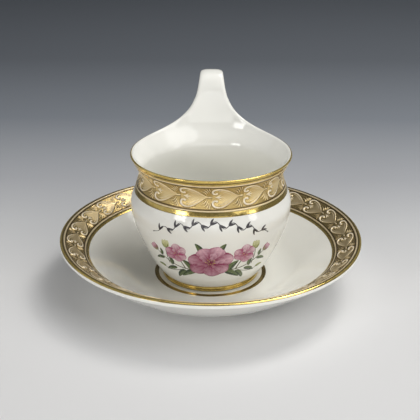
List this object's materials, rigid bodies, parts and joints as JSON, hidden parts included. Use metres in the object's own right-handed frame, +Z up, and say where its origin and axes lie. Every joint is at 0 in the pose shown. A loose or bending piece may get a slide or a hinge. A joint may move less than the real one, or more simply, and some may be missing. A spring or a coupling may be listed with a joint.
{
  "type": "cup and saucer",
  "caption": "Footed porcelain cup with a waisted neck, a lip that rises into a tall strap handle, and gilded scroll bands, standing loose on a deep saucer.",
  "frame": {"origin": "middle of the saucer's foot ring, on the table it stands on", "axes": "+Z up along the shared axis of the saucer and the cup, +Y towards the handle, so a viewer in front of the cup looks along +Y"},
  "size_m": [0.15, 0.15, 0.0964],
  "materials": {
    "porcelain": "white hard porcelain under a clear, smooth gloss glaze",
    "bright_gold": "burnished gilding, mirror bright with fine wear",
    "etched_gold": "gilding over an etched scroll relief, bright on the raised scrolls and dull in the ground"
  },
  "bodies": {
    "saucer": {"saucer_dish": "porcelain", "saucer_rim_line": "bright_gold", "saucer_scroll_band": "etched_gold", "saucer_band_line": "bright_gold", "saucer_well_line": "bright_gold"},
    "cup": {"cup_bowl": "porcelain", "cup_handle": "porcelain", "cup_rim_line": "bright_gold", "cup_scroll_band": "etched_gold", "cup_neck_line": "bright_gold", "cup_foot_line": "bright_gold"}
  },
  "joints": [
    {"name": "cup_lift", "type": "slide", "parent": "saucer", "child": "cup", "axis": [0, 0, 1], "range_m": [0, 0.1]}
  ]
}
